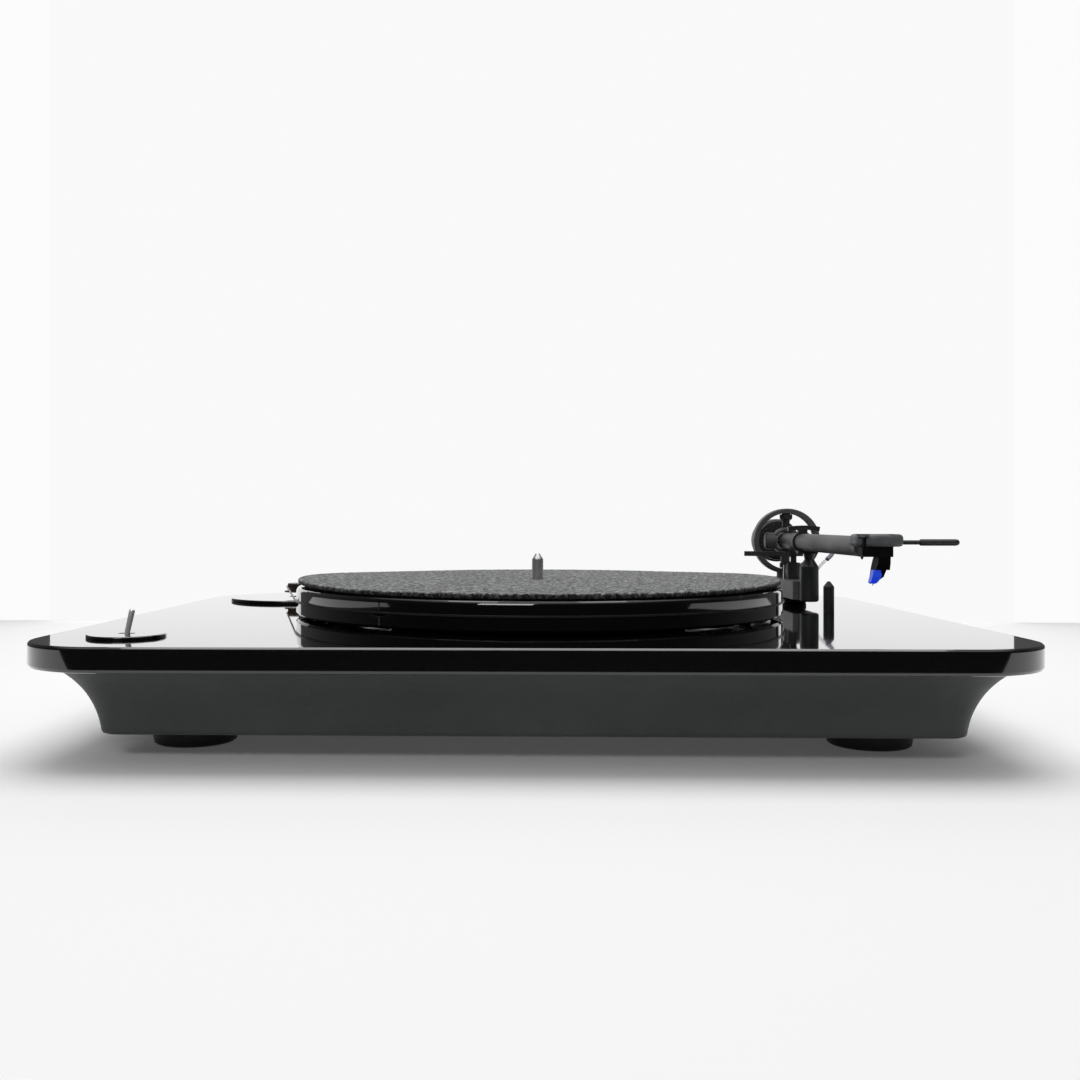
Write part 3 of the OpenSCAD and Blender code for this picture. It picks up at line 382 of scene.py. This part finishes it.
def make_mat():
    """A disc of felt with a soft lumpy face, a slightly ragged edge and a hole for the spindle."""
    centre = (MAT_LOW + MAT_HIGH) / 2
    outer = (MAT_HIGH.x - MAT_LOW.x) / 2
    hole = 3.9 * MM
    low, high = MAT_LOW.z, MAT_HIGH.z
    thick = high - low
    edge_lift = 1.9 * MM
    flat_to = 85 * MM
    around = 960
    edge_steps = 6
    round_r = thick * 0.42
    profile = []
    steps_in = 46
    for i in range(steps_in):
        r = hole + (outer - round_r - hole) * (i / steps_in)
        profile.append((r, high, 1.0))
    for i in range(edge_steps + 1):
        a = math.pi / 2 * (1 - i / edge_steps)
        profile.append((outer - round_r + round_r * math.cos(a), high - round_r + round_r * math.sin(a), 1.0))
    for i in range(edge_steps + 1):
        a = -math.pi / 2 * (i / edge_steps)
        profile.append((outer - round_r + round_r * math.cos(a), low + round_r + round_r * math.sin(a), 0.5))
    for r in (outer * 0.8, outer * 0.4, hole):
        profile.append((r, low, 0.0))
    vertices, faces = [], []
    for j in range(around):
        a = 2 * math.pi * j / around
        ragged = 0.25 * MM * (noise.noise(Vector((math.cos(a) * 22, math.sin(a) * 22, 3.0))) - 0.6)
        for r, z, loose in profile:
            reach = max(0.0, (r - outer * 0.97) / (outer * 0.03))
            rr = r + ragged * reach
            x, y = rr * math.cos(a), rr * math.sin(a)
            lump = noise.fractal(Vector((x, y, z)) * 240.0, 1.0, 2.0, 3)
            lift = edge_lift * max(0.0, (abs(x) - flat_to) / (outer - flat_to)) ** 2
            vertices.append((centre.x + x, centre.y + y, z + lift + loose * 0.09 * MM * (lump - 0.6)))
    n = len(profile)
    for j in range(around):
        k = (j + 1) % around
        for i in range(n):
            m = (i + 1) % n
            faces.append((j * n + i, j * n + m, k * n + m, k * n + i))
    piece = add_mesh("felt_mat", vertices, faces, "mat_felt", "platter")
    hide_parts("mat")
    return piece


make_mat()


# ---------------------------------------------------------------- arm leads

LOOP_ROUTE = [
    (194.1, 100, 12), (197, 100, 12.4), (200, 101, 15), (203, 102.5, 19.5),
    (206, 104, 24.4), (210, 107.5, 28), (214, 111, 30.5),
    (217.5, 114, 33), (219.5, 115.6, 36), (219.5, 116.2, 39),
    (217, 115.8, 41.5), (212, 114, 42.6), (207, 112, 42.4), (202, 110, 41.8),
]
SLEEVE_FIRST = 6


def loop_points(first, last):
    return [Vector((x * MM, y * MM, TOP + h * MM)) for x, y, h in LOOP_ROUTE[first:last + 1]]


def make_arm_leads():
    """Two fine wires, then one soft sleeve round them."""
    wires_v, wires_f = [], []
    for s in (-1, 1):
        shift = Vector((0, s * 0.62, s * 0.62)) * MM
        v, f = tube_mesh([p + shift for p in smooth_route(loop_points(0, SLEEVE_FIRST))[:-3]], 0.45 * MM)
        base = len(wires_v)
        wires_v += v
        wires_f += [tuple(i + base for i in face) for face in f]
    wires = add_mesh("lead_wires", wires_v, wires_f, "wire_silver")
    sleeve_v, sleeve_f = tube_mesh(smooth_route(loop_points(SLEEVE_FIRST, len(LOOP_ROUTE) - 1)), 1.55 * MM)
    sleeve = add_mesh("lead_sleeve", sleeve_v, sleeve_f, "sleeve_grey")
    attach(wires, "plinth")
    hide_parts("arm_lead_wires")
    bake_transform(sleeve)
    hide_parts("arm_lead_sleeve")


make_arm_leads()


# ---------------------------------------------------------------- dots on the dial ring

def make_dial_dots():
    """Paint in the small holes round the dial's front face."""
    low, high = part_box("dial_ring")
    centre = (low + high) / 2
    lean = math.radians(-2.5)
    back = Vector((-math.sin(lean), math.cos(lean), 0))
    side = Vector((math.cos(lean), math.sin(lean), 0))
    face = centre - back * 1.55 * MM
    vertices, faces = [], []
    around = 12
    for mark in range(24):
        a = math.radians(15 * mark)
        middle = face + 12.4 * MM * (math.sin(a) * side + math.cos(a) * Vector((0, 0, 1)))
        first = len(vertices)
        for depth in (0, 0.22 * MM):
            for k in range(around):
                b = 2 * math.pi * k / around
                ring = 0.42 * MM * (math.cos(b) * side + math.sin(b) * Vector((0, 0, 1)))
                vertices.append(middle + ring + back * depth)
        faces.append(tuple(range(first, first + around)))
        faces.append(tuple(range(first + 2 * around - 1, first + around - 1, -1)))
        for k in range(around):
            m = (k + 1) % around
            faces.append((first + m, first + k, first + around + k, first + around + m))
    dots = add_mesh("dial_dots", vertices, faces, "stub_alloy", "dial")
    dots.data.shade_flat()


make_dial_dots()


# ---------------------------------------------------------------- stage and light

STAGE_BACK = 0.6


def stage_sheet(name, corners, material):
    """One flat sheet of the stage."""
    mesh = bpy.data.meshes.new(name)
    mesh.from_pydata(corners, [], [(0, 1, 2, 3)])
    mesh.materials.append(material)
    sheet = bpy.data.objects.new(name, mesh)
    bpy.context.scene.collection.objects.link(sheet)


def make_floor():
    """Plain pale paper, which ends a little in front of the object."""
    front, side = -0.45, 1.2
    t = Tree("floor_paper")
    t.set(Base_Color=(0.95, 0.95, 0.95, 1.0), Roughness=0.9, Specular_IOR_Level=0.1,
          Emission_Color=(1.0, 1.0, 1.0, 1.0), Emission_Strength=0.06)
    stage_sheet("floor", [(-side, front, 0), (side, front, 0), (side, STAGE_BACK, 0), (-side, STAGE_BACK, 0)],
                t.material)


def make_backdrop():
    """A plain white sheet behind the object, which is clear from its back."""
    left, right, high = -0.573, 0.565, 0.8
    t = Tree("backdrop_white")
    white = t.nodes.new("ShaderNodeEmission")
    white.inputs["Strength"].default_value = 0.95
    clear = t.nodes.new("ShaderNodeBsdfTransparent")
    mix = t.nodes.new("ShaderNodeMixShader")
    t.links.new(t.nodes.new("ShaderNodeNewGeometry").outputs["Backfacing"], mix.inputs["Fac"])
    t.links.new(white.outputs["Emission"], mix.inputs[1])
    t.links.new(clear.outputs["BSDF"], mix.inputs[2])
    t.links.new(mix.outputs["Shader"], t.material.node_tree.nodes["Material Output"].inputs["Surface"])
    stage_sheet("backdrop", [(left, STAGE_BACK, 0), (right, STAGE_BACK, 0), (right, STAGE_BACK, high),
                             (left, STAGE_BACK, high)], t.material)


def area_light(name, place, target, size, power, colour=(1, 1, 1)):
    data = bpy.data.lights.new(name, "AREA")
    data.shape = "RECTANGLE"
    data.size, data.size_y = size
    data.energy = power
    data.color = colour
    lamp = bpy.data.objects.new(name, data)
    bpy.context.scene.collection.objects.link(lamp)
    lamp.location = place
    lamp.rotation_euler = (Vector(target) - Vector(place)).to_track_quat("-Z", "Y").to_euler()
    return lamp


class Graph:
    """The world's node tree, with short calls for sums on sockets."""

    def __init__(self, tree):
        self.nodes, self.links = tree.nodes, tree.links

    def math(self, kind, a, b=0.0):
        node = self.nodes.new("ShaderNodeMath")
        node.operation = kind
        for socket, value in zip(node.inputs, (a, b)):
            if isinstance(value, (int, float)):
                socket.default_value = value
            else:
                self.links.new(value, socket)
        return node.outputs["Value"]

    def step(self, value, low, high, to_low=0.0, to_high=1.0):
        node = self.nodes.new("ShaderNodeMapRange")
        node.interpolation_type = "SMOOTHSTEP"
        for key, number in (("From Min", low), ("From Max", high), ("To Min", to_low), ("To Max", to_high)):
            node.inputs[key].default_value = number
        self.links.new(value, node.inputs["Value"])
        return node.outputs["Result"]


def make_world():
    """White where the camera sees it. As light: a soft top and a dark room."""
    world = bpy.data.worlds.new("studio")
    bpy.context.scene.world = world
    world.use_nodes = True
    g = Graph(world.node_tree)
    g.nodes.clear()
    out = g.nodes.new("ShaderNodeOutputWorld")
    mix = g.nodes.new("ShaderNodeMixShader")
    seen = g.nodes.new("ShaderNodeBackground")
    seen.inputs["Color"].default_value = (1, 1, 1, 1)
    seen.inputs["Strength"].default_value = 0.97
    room = g.nodes.new("ShaderNodeBackground")
    path = g.nodes.new("ShaderNodeLightPath")
    coords = g.nodes.new("ShaderNodeTexCoord")
    split = g.nodes.new("ShaderNodeSeparateXYZ")
    g.links.new(coords.outputs["Generated"], split.inputs["Vector"])
    y, z = split.outputs["Y"], split.outputs["Z"]
    low_room = g.step(y, -0.6, 0.6, 0.02, 0.10)
    top = g.step(z, 0.62, 0.88)
    g.links.new(g.math("MAXIMUM", low_room, top), room.inputs["Strength"])
    g.links.new(path.outputs["Is Camera Ray"], mix.inputs["Fac"])
    g.links.new(room.outputs["Background"], mix.inputs[1])
    g.links.new(seen.outputs["Background"], mix.inputs[2])
    g.links.new(mix.outputs["Shader"], out.inputs["Surface"])


make_floor()
make_backdrop()
make_world()
area_light("top_softbox", (0.0, 0.1, 1.5), (0, 0.0, 0), (1.5, 1.2), 12)
area_light("front_fill", (-0.5, -1.9, 1.3), (0, 0, 0.05), (0.9, 0.5), 9)

bpy.context.scene.view_settings.view_transform = "Standard"
bpy.context.scene.view_settings.look = "None"
